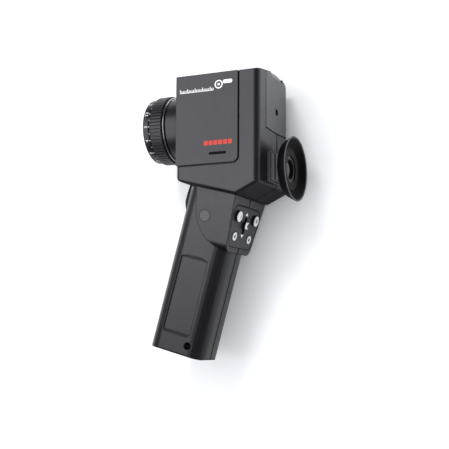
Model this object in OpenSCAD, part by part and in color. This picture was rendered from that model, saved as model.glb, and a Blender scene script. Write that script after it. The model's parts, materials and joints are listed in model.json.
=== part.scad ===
// Pistol-grip spot light meter: a lens and viewfinder head on a raked grip, with a keypad under the eyepiece.
// Millimetres. Origin: lens axis at the front rim of the lens. The lens looks along -Y, +Z is up,
// +X is the left-hand side of the meter. Grip, trigger and keypad parts are drawn in the grip's own frame:
// origin at the middle of the grip foot, +Z up the raked grip, +Y towards the thumb side.

/* [Head] */
// Y of the head's front face, behind the lens rim
head_front = 33.8; // [33:0.1:36]
// Y of the head's rear face
head_rear = 97.8; // [97:0.1:99]
// X of the flat left wall
head_left = 35; // [34.5:0.1:36]
// X of the right wall
head_right = -27; // [-29:0.1:-26.8]
// Z of the head's upper left edge
head_top = 30.5; // [30:0.1:31.5]
// rise of the ridge above that edge
crown_rise = 4.4; // [4:0.1:6]
// wall thickness of the housing
wall = 2.4; // [2.2:0.1:2.6]
// gap round the side panel
panel_gap = 0.95; // [0.3:0.05:1]

/* [Grip] */
// rake of the grip from the vertical, degrees
grip_rake = 15.3; // [14.5:0.1:16]
// half the grip's width, side to side
grip_half_width = 18.9; // [18:0.1:19]
// half the grip's depth, finger side to palm side
grip_half_depth = 21.95; // [21.5:0.05:22.2]
// corner radius of the grip's section
grip_corner = 12.4; // [10:0.1:12.5]
// depth of the shallow finger recess in each side
recess_depth = 1.2; // [0.4:0.1:1.4]

/* [Lens] */
// outer radius of the scale ring at the front
scale_ring_r = 24.2; // [23.6:0.1:24.4]
// outer radius over the focus ring's ribs
focus_ring_r = 25.75; // [25:0.05:26]
// number of ribs round the focus ring
focus_ribs = 64; // [48:2:72]
// bore radius of the filter thread
filter_r = 20.25; // [20:0.05:20.5]
// bore radius of the barrel, in which the lens cell slides
barrel_bore_r = 19.5; // [19.3:0.1:19.6]
// radial running clearance of turning and sliding rings
run = 0.05; // [0.02:0.01:0.08]

/* [Eyepiece] */
// Z of the eyepiece axis, below the lens axis
eye_z = -36.35; // [-36.8:0.05:-36]
// Y of the eyecup's rim
eye_rim_y = 112.6; // [112.2:0.1:114]
// outer radius of the eyecup's rim
eye_rim_r = 23.4; // [22:0.1:24]

/* [Keypad] */
// height of the keypad face above the grip's axis plane
facet_y = 22.5; // [22.3:0.1:22.7]
// half the width of the pod at its top
pod_half_top = 27.8; // [27:0.1:28.5]
// half the width of the pod at its foot
pod_half_foot = 21; // [20.5:0.1:21.5]
// travel of each push button
key_travel = 0.8; // [0.5:0.1:0.8]
// height of the two upper buttons above the keypad face
upper_key_rise = 1.8; // [1:0.1:2]
// height of the two lower buttons above the keypad face
lower_key_rise = 0.5; // [0.3:0.1:1.5]

/* [Battery] */
// half the width of the battery door
door_half_width = 20.3; // [20:0.1:20.4]
// radius of one cell
cell_r = 5.25; // [5:0.05:5.3]
// length of one cell without its cap
cell_length = 43.7; // [42:0.1:44]

/* [Hidden] */
$fn = 72;

arc_steps = 8;           // straight steps in each rounded corner of an outline
far = 200;               // longer than any part of the meter

// head outline
front_slope = 14.5;      // fall of the underside from the front to the keel, degrees
rear_slope = 25.5;       // its rise from the keel to the rear face
keel_y = 80.4;           // the lowest line of the underside
keel_z = -57.4;
keel_r = 2;
nose_r = 6.5;            // rounding of the lower front edge
heel_r = 5;              // rounding of the lower rear edge
underside_r = 2.8;       // rounding between the sides and the underside
panel_rear = 82.2;       // the side panel's outline
panel_foot = -34.55;
panel_thick = 2.2;
panel_corner = 4;
cavity_left = 30.4;      // the inner face of the left wall, behind the panel's seat
groove_half = 0.65;      // the groove where the two shells meet
groove_depth = 0.5;

// grip frame
grip_foot = [0, 24.1, -166.95];
grip_top = 121.5;        // the grip's length along its own axis, ending inside the head
pod_foot = 79.8;
pod_top = 123.5;
pod_arc_centre = [22.4, 109.5];
pod_arc_r = 29.6;
pod_corner = 7.5;        // rounding of the keypad face's lower corners

// keypad
plate_thick = 1.4;
plate_foot = 84.5;
plate_head = 113.8;
plate_half_foot = 19.1;
plate_half_head = 24.6;
plate_ledge = 1.4;
plate_corner = 6.5;
plate_gap = 0.6;
upper_key = [15.1, 106.4, 4.1];  // x, height up the grip, radius
lower_key = [12.8, 91.8, 3.35];
key_underside = facet_y - plate_thick - 1;
key_flange = 0.6;
select_z = 101;
select_half_slot = 6.5;
select_half_gap = 2.2;
mat_y = 17.4;            // the plane between the key board and the mat
mat_inset = 0.5;         // mat and board stand this far inside the plate's outline

// optics
optics_half_width = 13.5;

// trigger
trigger_pivot = [-16.6, 112.6];  // y, z in the grip frame
trigger_half_width = 6.2;
trigger_pin_r = 1.2;
trigger_low = 98.2;
trigger_high = 123;
trigger_play = 0.3;      // gap to each side of the slot

// door
door_thick = 2.5;
door_edge_z = -8.45;     // Z of the door's lower edge at its ends
door_sag = 0.9;          // how much lower it is in the middle
door_gap = 0.85;
hinge_y = 96.1;
hinge_z = -5.55;
hinge_r = 0.6;
hinge_half = 21.6;
tab_half = 10.6;         // the flexible tab between the two slits
slit_foot = 30.35;
vent_z = 6.25;
vent_r = 2.5;

// screws: three under the side panel, one under the pod's plug, one at the grip foot
screw_shank_r = 1.1;
screw_head_r = 2.3;
screw_well_r = 2.6;
boss_r = 3.3;
head_screws = [[45, 25.45], [75.6, 25.45], [42, -30.25]];
grip_screws = [[1.4, 101], [10.6, 7.7]];
plug_r = 4;
plug_gap = 0.05;
plug_seat_x = 22.4;

// 1/4-20 UNC camera socket
tripod_bore_r = 2.6;
tripod_bore_depth = 8.5;

// ---------- helpers ----------

function arc(c, r, from, to) =
    [for (i = [0:arc_steps]) let (a = from + (to - from) * i / arc_steps) [c[0] + r * cos(a), c[1] + r * sin(a)]];

// a rectangle with its own radius at each corner: low-low, high-low, high-high, low-high
function rounded(x0, y0, x1, y1, r) = concat(
    arc([x0 + r[0], y0 + r[0]], r[0], 180, 270),
    arc([x1 - r[1], y0 + r[1]], r[1], 270, 360),
    arc([x1 - r[2], y1 - r[2]], r[2], 0, 90),
    arc([x0 + r[3], y1 - r[3]], r[3], 90, 180)
);

// extrudes an outline drawn in (Y, Z) along X
module along_x(x0, x1) {
    translate([x0, 0, 0]) rotate([90, 0, 90]) linear_extrude(x1 - x0) children();
}

// extrudes an outline drawn in (X, Z) along Y
module along_y(y0, y1) {
    translate([0, y1, 0]) rotate([90, 0, 0]) linear_extrude(y1 - y0) children();
}

module along_z(z0, z1) {
    translate([0, 0, z0]) linear_extrude(z1 - z0) children();
}

module block(low, high) {
    translate(low) cube(high - low);
}

// a rod along X through (y, z)
module rod_x(x0, x1, y, z, r) {
    translate([x0, y, z]) rotate([0, 90, 0]) cylinder(h = x1 - x0, r = r);
}

// a rod along Y at height z
module rod_y(y0, y1, z, r, x = 0) {
    translate([x, y0, z]) rotate([-90, 0, 0]) cylinder(h = y1 - y0, r = r);
}

// a ring along Y
module ring_y(y0, y1, z, outer, inner) {
    difference() {
        rod_y(y0, y1, z, outer);
        rod_y(y0 - 1, y1 + 1, z, inner);
    }
}

// turns a half section drawn as (radius, Y) round an axis along Y
module turned_y(z = 0) {
    translate([0, 0, z]) rotate([-90, 0, 0]) rotate_extrude() children();
}

module grip_frame() {
    translate(grip_foot) rotate([-grip_rake, 0, 0]) children();
}

module left_half() {
    intersection() {
        children();
        block([0, -far, -far], [far, far, far]);
    }
}

module right_half() {
    intersection() {
        children();
        block([-far, -far, -far], [0, far, far]);
    }
}

// ---------- housing forms, each shrunk by "inset" for the cavity ----------

module shrink(inset) {
    if (inset == 0) children();
    else offset(delta = -inset) children();
}

// centre of an end arc at y whose slope, with its outward normal at angle a, also touches the keel's arc
function slope_end(a, y, r) = [y, keel_z + keel_r + (cos(a) * (keel_y - y) + keel_r - r) / sin(a)];

module head_side_outline() {
    front_a = 270 - front_slope;
    rear_a = 270 + rear_slope;
    polygon(concat(
        arc(slope_end(front_a, head_front + nose_r, nose_r), nose_r, 180, front_a),
        arc([keel_y, keel_z + keel_r], keel_r, front_a, rear_a),
        arc(slope_end(rear_a, head_rear - heel_r, heel_r), heel_r, rear_a, 360),
        [[head_rear, 60], [head_front, 60]]
    ));
}

module head_crown_outline() {
    ridge = head_top + crown_rise;
    polygon([
        [head_left, -80], [head_left, head_top - 0.4], [head_left - 0.5, head_top],
        [27, head_top + 1.1], [20.5, head_top + 2.1], [12, head_top + 3.3], [5, ridge - 0.5],
        [1.5, ridge - 0.1], [-2, ridge], [-5.5, ridge - 0.3], [-9, ridge - 1], [-14, ridge - 2.7],
        [-18.5, ridge - 4.7], [-22.5, ridge - 7.5], [-25.3, ridge - 11], [head_right, ridge - 15],
        [head_right, -80]
    ]);
}

module head_plan_outline() {
    polygon(rounded(head_right, head_front, head_left, head_rear, [3, 3.6, 4.5, 9.8]));
}

// a prism along one slope of the underside that rounds the edges between the slope and the head's sides
module underside_prism(slope, inset) {
    translate([0, keel_y, keel_z + keel_r]) rotate([90 + slope, 0, 0]) along_z(-far, far) translate([0, -keel_r])
        shrink(inset) polygon(rounded(head_right, 0, head_left, far, [underside_r, underside_r, 0.1, 0.1]));
}

module head_form(inset) {
    intersection() {
        along_x(-far, far) shrink(inset) head_side_outline();
        along_y(-far, far) shrink(inset) head_crown_outline();
        along_z(-far, far) shrink(inset) head_plan_outline();
        underside_prism(-front_slope, inset);
        underside_prism(rear_slope, inset);
    }
}

module grip_form(inset) {
    w = grip_half_width - inset;
    d = grip_half_depth - inset;
    r = grip_corner - inset;
    foot_edge = 1.8;
    grip_frame() intersection() {
        along_z(inset, grip_top + 2 * inset) polygon(rounded(-w, -d, w, d, [r, r, r, r]));
        along_x(-w - 1, w + 1) polygon(rounded(-d, inset, d, far, [foot_edge, foot_edge, 0.1, 0.1]));
        along_y(-d - 1, d + 1) polygon(rounded(-w, inset, w, far, [foot_edge, foot_edge, 0.1, 0.1]));
    }
}

module pod_side_outline() {
    polygon(concat(
        arc(pod_arc_centre, pod_arc_r, 180, 270),
        [[facet_y, pod_foot + 0.4], [facet_y, pod_top], [-9.6, pod_top], [-8.1, 115]]
    ));
}

module pod_front_outline() {
    offset(r = pod_corner) offset(delta = -pod_corner) polygon([
        [-pod_half_foot, pod_foot - 0.1], [pod_half_foot, pod_foot - 0.1],
        [pod_half_top, 120], [pod_half_top, pod_top + 9], [-pod_half_top, pod_top + 9], [-pod_half_top, 120]
    ]);
}

module pod_form(inset) {
    grip_frame() intersection() {
        along_x(-far, far) union() {
            shrink(inset) pod_side_outline();
            if (inset > 0) translate([-4, pod_top - 8]) square([facet_y - inset + 4, 9]);
        }
        along_y(-far, far) shrink(inset) pod_front_outline();
    }
}

module finger_recess(side) {
    deep = grip_half_width - recess_depth;
    low = 13;
    high = 71.4;
    ramp = 2.8;              // length of the slope at each end of the recess
    out = 5;
    grip_frame() mirror([side > 0 ? 0 : 1, 0, 0]) intersection() {
        along_x(deep, deep + out) polygon(concat(
            arc([-7.8, low + 4], 4, 180, 270),
            arc([6.2, low + 4], 4, 270, 360),
            arc([-0.8, high - 26.4], 26.4, 66, 114)
        ));
        along_y(-far, far) polygon([
            [deep, low + ramp], [deep, high - ramp],
            [deep + out, high + ramp * (out / recess_depth - 1)], [deep + out, low - ramp * (out / recess_depth - 1)]
        ]);
    }
}

// ---------- housing ----------

module door_outline(gap) {
    half = door_half_width + gap;
    polygon(concat(
        [for (i = [-4:4]) [i / 4 * half, door_edge_z - gap - door_sag * (1 - i * i / 16)]],
        [[half, 60], [-half, 60]]
    ));
}

module panel_outline(gap) {
    polygon(rounded(
        head_front - gap * 20, panel_foot - gap, panel_rear + gap, head_top + gap * 20,
        [0.5, panel_corner + gap, 0.5, 0.5]
    ));
}

module key_plate_outline() {
    offset(r = plate_corner) offset(delta = -plate_corner) polygon([
        [-plate_half_foot, plate_foot], [plate_half_foot, plate_foot],
        [plate_half_head, plate_head], [-plate_half_head, plate_head]
    ]);
}

module housing() {
    difference() {
        union() {
            head_form(0);
            grip_form(0);
            pod_form(0);
        }
        difference() {
            union() {
                intersection() {
                    head_form(wall);
                    block([-far, -far, -far], [cavity_left, far, far]);
                }
                grip_form(wall);
                pod_form(wall);
            }
            // screw bosses, joined in the parting plane
            for (s = head_screws) rod_x(-far, far, s[0], s[1], boss_r);
            grip_frame() {
                for (s = grip_screws) rod_x(-far, far, s[0], s[1], boss_r);
                // trigger pin bosses
                for (m = [-1, 1])
                    rod_x(m > 0 ? trigger_half_width + trigger_play : -far,
                        m > 0 ? far : -trigger_half_width - trigger_play,
                        trigger_pivot[0], trigger_pivot[1], 2.6);
                // pegs that carry the trigger switch
                rod_x(6, far, -9, 102, 1.6);
                rod_x(-far, -6, -9, 102, 1.6);
                // collar of the tripod insert
                translate([0, 0, -1]) cylinder(h = 11.5, r = 10);
            }
            // standoffs of the main board and of the display
            for (y = [49, 75], z = [-31, -13]) rod_x(-far, -19.6, y, z, 2.2);
            // shelf under the battery tray
            block([-15, 79.4, -18.35], [15, far, -16.35]);
            // pegs that hold the optics housing
            for (y = [51, 69]) {
                rod_x(optics_half_width, far, y, -40, 2.2);
                rod_x(-far, -optics_half_width, y, -40, 2.2);
            }
            rod_x(optics_half_width, far, 60, 6, 2.2);
        }
        // lens opening
        rod_y(head_front - 5, head_front + wall + 3, 0, 21.6);
        // battery opening and hinge sockets
        along_y(head_rear - door_thick - 0.2, far) door_outline(door_gap);
        rod_x(-hinge_half - 0.15, hinge_half + 0.15, hinge_y, hinge_z, hinge_r + run);
        // room for the door's lower edge, which swings inwards
        intersection() {
            along_y(head_rear - 6, far) door_outline(door_gap);
            block([-far, -far, -far], [far, far, hinge_z + 2]);
        }
        // seat of the side panel
        along_x(head_left - panel_thick, far) panel_outline(panel_gap);
        // eyepiece opening
        along_y(head_rear - 5, far) translate([-15.2, eye_z - 8.7]) square([30.4, 17.4]);
        // display opening, with the window's seat
        block([-far, 49, -3], [-20, 75, 17]);
        block([-far, 47, -5], [head_right + 1.4, 77, 19]);
        // finger recesses
        finger_recess(1);
        finger_recess(-1);
        // screw wells and pilot holes
        for (s = head_screws) screw_hole(s);
        grip_frame() {
            for (s = grip_screws) screw_hole(s);
            rod_x(plug_seat_x, far, grip_screws[0][0], grip_screws[0][1], plug_r + plug_gap);
            // keypad seat and opening
            along_y(facet_y - plate_thick, facet_y + 5) offset(delta = plate_gap) key_plate_outline();
            along_y(facet_y - 6, facet_y + 5) offset(delta = -plate_ledge) key_plate_outline();
            rod_x(-trigger_half_width - 5, trigger_half_width + 5, trigger_pivot[0], trigger_pivot[1],
                trigger_pin_r);
            // socket of the tripod insert
            translate([0, 0, -1]) cylinder(h = 20, r = 6);
            translate([0, 0, 5]) cylinder(h = 2, r = 8);
        }
        // trigger slot, up to the underside of the head
        difference() {
            grip_frame() block(
                [-trigger_half_width - trigger_play, -far, trigger_low - 1.2],
                [trigger_half_width + trigger_play, -grip_half_depth + wall + 3, trigger_high + 2]
            );
            along_x(-far, far) head_side_outline();
        }
        parting_groove();
    }
}

// a shallow groove round the outside, where the two shells meet
module parting_groove() {
    difference() {
        block([-groove_half, -far, -far], [groove_half, far, far]);
        head_form(groove_depth);
        grip_form(groove_depth);
        pod_form(groove_depth);
    }
}

// a deep well for the head in the left shell, a pilot hole in the right one
module screw_hole(s) {
    rod_x(4, far, s[0], s[1], screw_well_r);
    rod_x(-10.2, 5, s[0], s[1], screw_shank_r);
}

module shell_left() {
    color([0.24, 0.24, 0.25]) left_half() housing();
}

module shell_right() {
    color([0.22, 0.22, 0.23]) right_half() housing();
}

module side_panel() {
    color([0.28, 0.28, 0.29]) along_x(head_left - panel_thick, head_left + 0.15) panel_outline(0);
}

module screw_plug() {
    color([0.3, 0.3, 0.31]) intersection() {
        pod_form(0);
        grip_frame() rod_x(plug_seat_x, far, grip_screws[0][0], grip_screws[0][1], plug_r);
    }
}

module case_screws() {
    color([0.55, 0.55, 0.57]) {
        for (s = head_screws) case_screw(s);
        grip_frame() for (s = grip_screws) case_screw(s);
    }
}

module case_screw(s) {
    difference() {
        union() {
            rod_x(4, 5.8, s[0], s[1], screw_head_r);
            rod_x(-9, 4.5, s[0], s[1], screw_shank_r);
        }
        rod_x(4.8, 7, s[0], s[1], 0.9);
    }
}

module tripod_insert() {
    color([0.75, 0.6, 0.3]) grip_frame() difference() {
        union() {
            cylinder(h = 10, r = 6);
            translate([0, 0, 5]) cylinder(h = 2, r = 8);
        }
        translate([0, 0, -1]) cylinder(h = tripod_bore_depth + 1, r = tripod_bore_r);
    }
}

// ---------- battery ----------

module battery_door() {
    plate_y = head_rear - door_thick;
    color([0.26, 0.26, 0.27]) {
        difference() {
            union() {
                intersection() {
                    head_form(0);
                    along_y(plate_y, far) door_outline(0);
                }
                rod_x(-hinge_half, hinge_half, hinge_y, hinge_z, hinge_r);
                // snap bump of the flexible tab, and the pad that holds the cells
                block([-8, plate_y - 1.4, 28.55], [8, plate_y + 0.5, 30.35]);
                block([-12, plate_y - 2.4, 5], [12, plate_y + 0.5, 23]);
            }
            rod_y(plate_y + 1.2, far, vent_z, vent_r);
            for (m = [-1, 1]) block([m * tab_half - 0.6, 80, slit_foot], [m * tab_half + 0.6, far, far]);
            // thumb chamfer along the top of the tab
            along_x(-tab_half, tab_half)
                polygon([[head_rear + 0.4, slit_foot - 0.6], [head_rear - 2, 35], [far, 35]]);
        }
    }
}

module battery_tray() {
    color([0.16, 0.16, 0.17]) difference() {
        block([-15, 79.4, -16.35], [15, 92, 31.05]);
        for (m = [-1, 1]) {
            block([m * 8 - cell_r - 0.6, 80.6, -14.95], [m * 8 + cell_r + 0.6, far, 30.05]);
        }
        intersection() {
            block([-16, 79, 25], [16, 93, 34]);
            difference() {
                block([-16, 79, 25], [16, 93, 60]);
                head_form(wall + 0.4);
            }
        }
    }
}

module battery_cells() {
    for (m = [-1, 1]) translate([m * 8, 86.6, -13.85]) {
        color([0.1, 0.25, 0.55]) cylinder(h = cell_length - 1, r = cell_r);
        color([0.7, 0.7, 0.72]) translate([0, 0, cell_length - 1]) cylinder(h = 0.9, r = 1.9);
    }
}

module battery_contacts() {
    color([0.8, 0.8, 0.78]) for (m = [-1, 1]) {
        block([m * 8 - 3.5, 83, -14.95], [m * 8 + 3.5, 90, -14.55]);
        translate([m * 8, 86.6, -14.55]) cylinder(h = 0.7, r = 2.2);
        block([m * 8 - 3.5, 83, 29.75], [m * 8 + 3.5, 90, 30.05]);
    }
}

// ---------- lens ----------

module lens_barrel() {
    color([0.14, 0.14, 0.15]) difference() {
        union() {
            rod_y(5.5, 19, 0, filter_r + 2);
            turned_y() polygon([
                [20, 18.2], [23, 18.2], [23, 19], [24, 19], [24.3, 26], [24.9, head_front], [20, head_front]
            ]);
            // raised lug that carries the index marks
            intersection() {
                ring_y(29.5, head_front, 0, 26, 22);
                block([-12, 29, 0], [12, 40, 30]);
            }
            rod_y(head_front - 1, 40.6, 0, 21.5);
        }
        rod_y(0, 35.5, 0, barrel_bore_r);
        rod_y(30, 50, 0, 15);
    }
}

module trim_ring() {
    color([0.1, 0.1, 0.11]) turned_y() polygon([
        [filter_r + 2, 16.4], [24.2, 16.4], [24.6, 16.7], [24.8, 17.3], [24.6, 17.9], [24.2, 18.2],
        [filter_r + 2, 18.2]
    ]);
}

module focus_ring() {
    root_r = focus_ring_r - 0.9;
    pitch = 360 / focus_ribs;
    color([0.12, 0.12, 0.13]) difference() {
        along_y(6.5, 15.7) polygon([
            for (i = [0:focus_ribs - 1], p = [[-0.36, root_r], [-0.24, focus_ring_r], [0.24, focus_ring_r], [0.36, root_r]])
                [p[1] * cos((i + p[0]) * pitch), p[1] * sin((i + p[0]) * pitch)]
        ]);
        rod_y(0, 20, 0, filter_r + 2 + run);
    }
}

module scale_ring() {
    color([0.1, 0.1, 0.11]) difference() {
        turned_y() polygon([
            [filter_r - 1, 0], [scale_ring_r - 0.7, 0], [scale_ring_r, 0.7],
            [scale_ring_r, 4.6], [scale_ring_r - 0.9, 5.4], [scale_ring_r - 1.6, 5.4],
            [scale_ring_r - 1.6, 6.5], [filter_r - 1, 6.5]
        ]);
        rod_y(-1, 7, 0, filter_r);
        rod_y(5.4, 7, 0, filter_r + 2 + run);
    }
}

module lens_cell() {
    color([0.15, 0.15, 0.16]) difference() {
        rod_y(9.8, 27, 0, barrel_bore_r - run);
        rod_y(9, 17, 0, 17);
        rod_y(16, 28, 0, 9.5);
        rod_y(21.5, 28, 0, 11);
    }
}

module front_retainer() {
    color([0.08, 0.08, 0.09]) turned_y() polygon([[14.6, 12.8], [17, 12.8], [17, 9.9], [16.2, 9.9]]);
}

module front_element() {
    color([0.35, 0.4, 0.55, 0.6]) turned_y() polygon(concat(
        [for (i = [0:8]) let (a = i * 24.8 / 8) [35 * sin(a), 46 - 35 * cos(a)]],
        [[17, 15.6], [17, 17], [0, 17]]
    ));
}

module rear_element() {
    color([0.4, 0.45, 0.55, 0.6]) turned_y() polygon(concat(
        [[0, 21.5], [11, 21.5], [11, 24]],
        [for (i = [8:-1:0]) let (a = i * 17 / 8) [37 * sin(a), -11 + 37 * cos(a)]]
    ));
}

module barrel_nut() {
    color([0.3, 0.3, 0.32]) difference() {
        ring_y(head_front + wall, head_front + wall + 2.4, 0, 23.4, 21.5);
        for (a = [0, 180]) rotate([0, a, 0]) block([22.4, head_front, -1], [26, head_front + 2 * wall + 3, 1]);
    }
}

// ---------- viewing and measuring optics ----------

module optics_housing() {
    color([0.13, 0.13, 0.14]) difference() {
        block([-optics_half_width, 46, -44], [optics_half_width, 74, 13]);
        block([-11.5, 48, -42.4], [11.5, 72, 11]);
        rod_y(40, 50, 0, 11);
        rod_y(70, 80, 0, 4);
        rod_y(70, 80, eye_z, 7);
    }
}

// a plate at 45 degrees, folding the light path down or back to the rear
module fold_plate(z, half, thick) {
    translate([0, 60, z]) rotate([-45, 0, 0]) block([-11.5, -half, -thick / 2], [11.5, half, thick / 2]);
}

module beam_splitter() {
    color([0.6, 0.65, 0.7, 0.6]) fold_plate(0, 14, 1.2);
}

module finder_mirror() {
    color([0.8, 0.82, 0.85]) fold_plate(eye_z, 7.6, 1.4);
}

module focusing_screen() {
    color([0.8, 0.85, 0.85, 0.7]) block([-11.5, 50, -19], [11.5, 70, -17.8]);
}

module light_sensor() {
    color([0.25, 0.4, 0.3]) {
        difference() {
            rod_y(74, 77.6, 0, 8.5);
            rod_y(73, 76, 0, 4.4);
        }
        block([-10, 77.6, -9], [10, 78.8, 9]);
    }
}

module eyepiece_block() {
    eye_tube_y = 74;
    color([0.17, 0.17, 0.18]) difference() {
        union() {
            block([-18.6, head_rear, eye_z - 10.6], [18.6, head_rear + 2.2, eye_z + 10.6]);
            block([-16.8, head_rear + 2.2, eye_z - 9.8], [16.8, head_rear + 4.6, eye_z + 9.8]);
            block([-14.6, head_rear + 4.6, eye_z - 9.4], [14.6, head_rear + 7, eye_z + 9.4]);
            block([-15, head_rear - wall - 1, eye_z - 8.5], [15, head_rear, eye_z + 8.5]);
            rod_y(eye_tube_y, head_rear, eye_z, 8.5);
            rod_y(head_rear + 7, 107.6, eye_z, 11);
        }
        rod_y(eye_tube_y - 1, far, eye_z, 7);
        rod_y(88, far, eye_z, 8 + run);
    }
}

module ocular_cell() {
    color([0.1, 0.1, 0.11]) difference() {
        rod_y(92, 108, eye_z, 8);
        rod_y(91, 109, eye_z, 6.4);
        rod_y(104, 109, eye_z, 7.2);
    }
}

module ocular_lens() {
    color([0.4, 0.45, 0.55, 0.6]) turned_y(eye_z) polygon(concat(
        [[7.2, 104], [7.2, 105.6]],
        [for (i = [6:-1:0]) let (a = i * 21 / 6) [20 * sin(a), 87 + 20 * cos(a)]],
        [[0, 104]]
    ));
}

module dioptre_ring() {
    color([0.15, 0.15, 0.16]) ring_y(105.1, 107.4, eye_z, 13.5, 11 + run);
}

module eyecup() {
    rim = eye_rim_y;
    color([0.08, 0.08, 0.08]) turned_y(eye_z) polygon([
        [13.5, 105.1], [18.4, 105.1], [19.6, 106], [21, 108], [22.3, 110.3], [23.2, rim - 0.8],
        [eye_rim_r, rim - 0.35], [eye_rim_r - 0.15, rim], [eye_rim_r - 1, rim], [21.1, 110.7],
        [19.7, 108.5], [18.3, 107], [17.3, 106.4], [15.2, 106.4], [15.2, 108.6], [9.6, 108.6],
        [9.6, 107.9], [13.5, 107.9]
    ]);
}

// ---------- electronics ----------

module main_board() {
    color([0.1, 0.35, 0.2]) block([-19.6, 46, -35], [-18, 78, 22]);
    color([0.1, 0.1, 0.1]) {
        block([-18, 56, -12], [-16.6, 66, -2]);
        block([-18, 50, -30], [-17, 55, -24]);
        block([-18, 62, -29], [-16.8, 72, -22]);
        block([-18, 52, 4], [-15.6, 60, 12]);
    }
}

module display_module() {
    color([0.5, 0.55, 0.48]) block([-24.6, 47.5, -4.5], [-20.6, 76.5, 18.5]);
    color([0.2, 0.2, 0.2]) for (y = [48.5, 52.5, 71.5, 75.5]) block([-20.6, y - 0.5, -4], [-19.6, y + 0.5, -1]);
}

module display_window() {
    color([0.05, 0.06, 0.07]) block([head_right, 47.2, -4.8], [head_right + 1.4, 76.8, 18.8]);
}

// ---------- keypad, in the grip frame ----------

module select_slot(y0, y1, half_gap, half_slot) {
    along_y(y0, y1) polygon(rounded(
        -half_gap, select_z - half_slot, half_gap, select_z + half_slot,
        [half_gap, half_gap, half_gap, half_gap]
    ));
}

module key_plate() {
    color([0.2, 0.2, 0.21]) grip_frame() difference() {
        along_y(facet_y - plate_thick, facet_y) key_plate_outline();
        for (m = [-1, 1]) {
            rod_y(facet_y - 5, facet_y + 5, upper_key[1], upper_key[2] + 0.2, m * upper_key[0]);
            rod_y(facet_y - 5, facet_y + 5, lower_key[1], lower_key[2] + 0.2, m * lower_key[0]);
        }
        select_slot(facet_y - 5, facet_y + 5, select_half_gap, select_half_slot);
    }
}

module push_key(x, z, r, rise) {
    flange_top = facet_y - plate_thick - 0.1;
    grip_frame() translate([x, 0, z]) rotate([-90, 0, 0]) {
        translate([0, 0, flange_top - 0.5]) cylinder(h = facet_y + rise - flange_top - 0.1, r = r);
        translate([0, 0, facet_y + rise - 0.7]) cylinder(h = 0.7, r1 = r, r2 = r - 0.45);
        translate([0, 0, flange_top - 0.9]) cylinder(h = 0.9, r = r + key_flange);
    }
}

module key_upper_left() {
    color([0.85, 0.85, 0.86]) push_key(upper_key[0], upper_key[1], upper_key[2], upper_key_rise);
}

module key_upper_right() {
    color([0.85, 0.85, 0.86]) push_key(-upper_key[0], upper_key[1], upper_key[2], upper_key_rise);
}

module key_lower_left() {
    color([0.85, 0.85, 0.86]) push_key(lower_key[0], lower_key[1], lower_key[2], lower_key_rise);
}

module key_lower_right() {
    color([0.85, 0.85, 0.86]) push_key(-lower_key[0], lower_key[1], lower_key[2], lower_key_rise);
}

module select_knob() {
    top = facet_y + 1.9;
    color([0.1, 0.1, 0.11]) grip_frame() {
        difference() {
            along_y(facet_y + 0.2, top)
                polygon(rounded(-2.9, select_z - 2.6, 2.9, select_z + 2.6, [0.8, 0.8, 0.8, 0.8]));
            // the arrow notch in its right-hand side
            along_y(top - 1, far) polygon([[-4, select_z - 2.2], [-4, select_z + 2.2], [0.4, select_z]]);
        }
        block([-1.9, facet_y - 2, select_z - 1.9], [1.9, facet_y + 0.2, select_z + 1.9]);
        block([-3.6, facet_y - 2.4, select_z - 3.6], [3.6, facet_y - 1.6, select_z + 3.6]);
        block([-0.7, mat_y + 1, select_z - 0.7], [0.7, facet_y - 2.4, select_z + 0.7]);
    }
}

module select_switch() {
    color([0.6, 0.6, 0.62]) grip_frame() difference() {
        block([-4, mat_y, select_z - 6.5], [4, mat_y + 2.2, select_z + 6.5]);
        block([-1, mat_y + 0.6, select_z - 4], [1, far, select_z + 4]);
    }
}

module key_mat() {
    color([0.6, 0.6, 0.6]) grip_frame() difference() {
        along_y(mat_y, facet_y - wall) offset(delta = -mat_inset) key_plate_outline();
        along_y(mat_y + 1.4, facet_y) offset(delta = -plate_ledge) key_plate_outline();
        block([-4.1, mat_y - 1, select_z - 6.6], [4.1, far, select_z + 6.6]);
    }
    color([0.6, 0.6, 0.6]) grip_frame() for (m = [-1, 1]) {
        rod_y(mat_y + 1, key_underside - key_travel, upper_key[1], 2.4, m * upper_key[0]);
        rod_y(mat_y + 1, key_underside - key_travel, lower_key[1], 2.0, m * lower_key[0]);
    }
}

module key_board() {
    color([0.1, 0.35, 0.2]) grip_frame() along_y(mat_y - 1.6, mat_y) offset(delta = -mat_inset) key_plate_outline();
}

// ---------- trigger, in the grip frame ----------

module trigger() {
    clearance = 0.4;         // to the underside of the head
    color([0.13, 0.13, 0.14]) difference() {
        grip_frame() along_x(-trigger_half_width, trigger_half_width) polygon([
            [-22, trigger_low + 0.2], [-22.7, trigger_low + 1.2], [-23.7, trigger_low + 4],
            [-25.1, trigger_low + 7], [-25.9, trigger_low + 9.4], [-26.1, trigger_low + 12.3],
            [-26, trigger_low + 16], [-25.7, trigger_low + 21], [-25.3, trigger_high],
            [-19, trigger_high], [-15.2, 117], [-14.2, 110], [-14.4, 101], [-17, trigger_low]
        ]);
        along_x(-far, far) offset(delta = clearance) head_side_outline();
        grip_frame() rod_x(-far, far, trigger_pivot[0], trigger_pivot[1], trigger_pin_r + run);
    }
}

module trigger_pin() {
    color([0.7, 0.7, 0.72]) grip_frame()
        rod_x(-trigger_half_width - 4.8, trigger_half_width + 4.8, trigger_pivot[0], trigger_pivot[1],
            trigger_pin_r);
}

module trigger_switch() {
    color([0.1, 0.1, 0.1]) grip_frame() {
        block([-6, -12, 98.5], [6, -6, 106]);
        block([-1.2, -12.9, 101], [1.2, -12, 103.4]);
    }
}

// ---------- the assembly ----------

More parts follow.
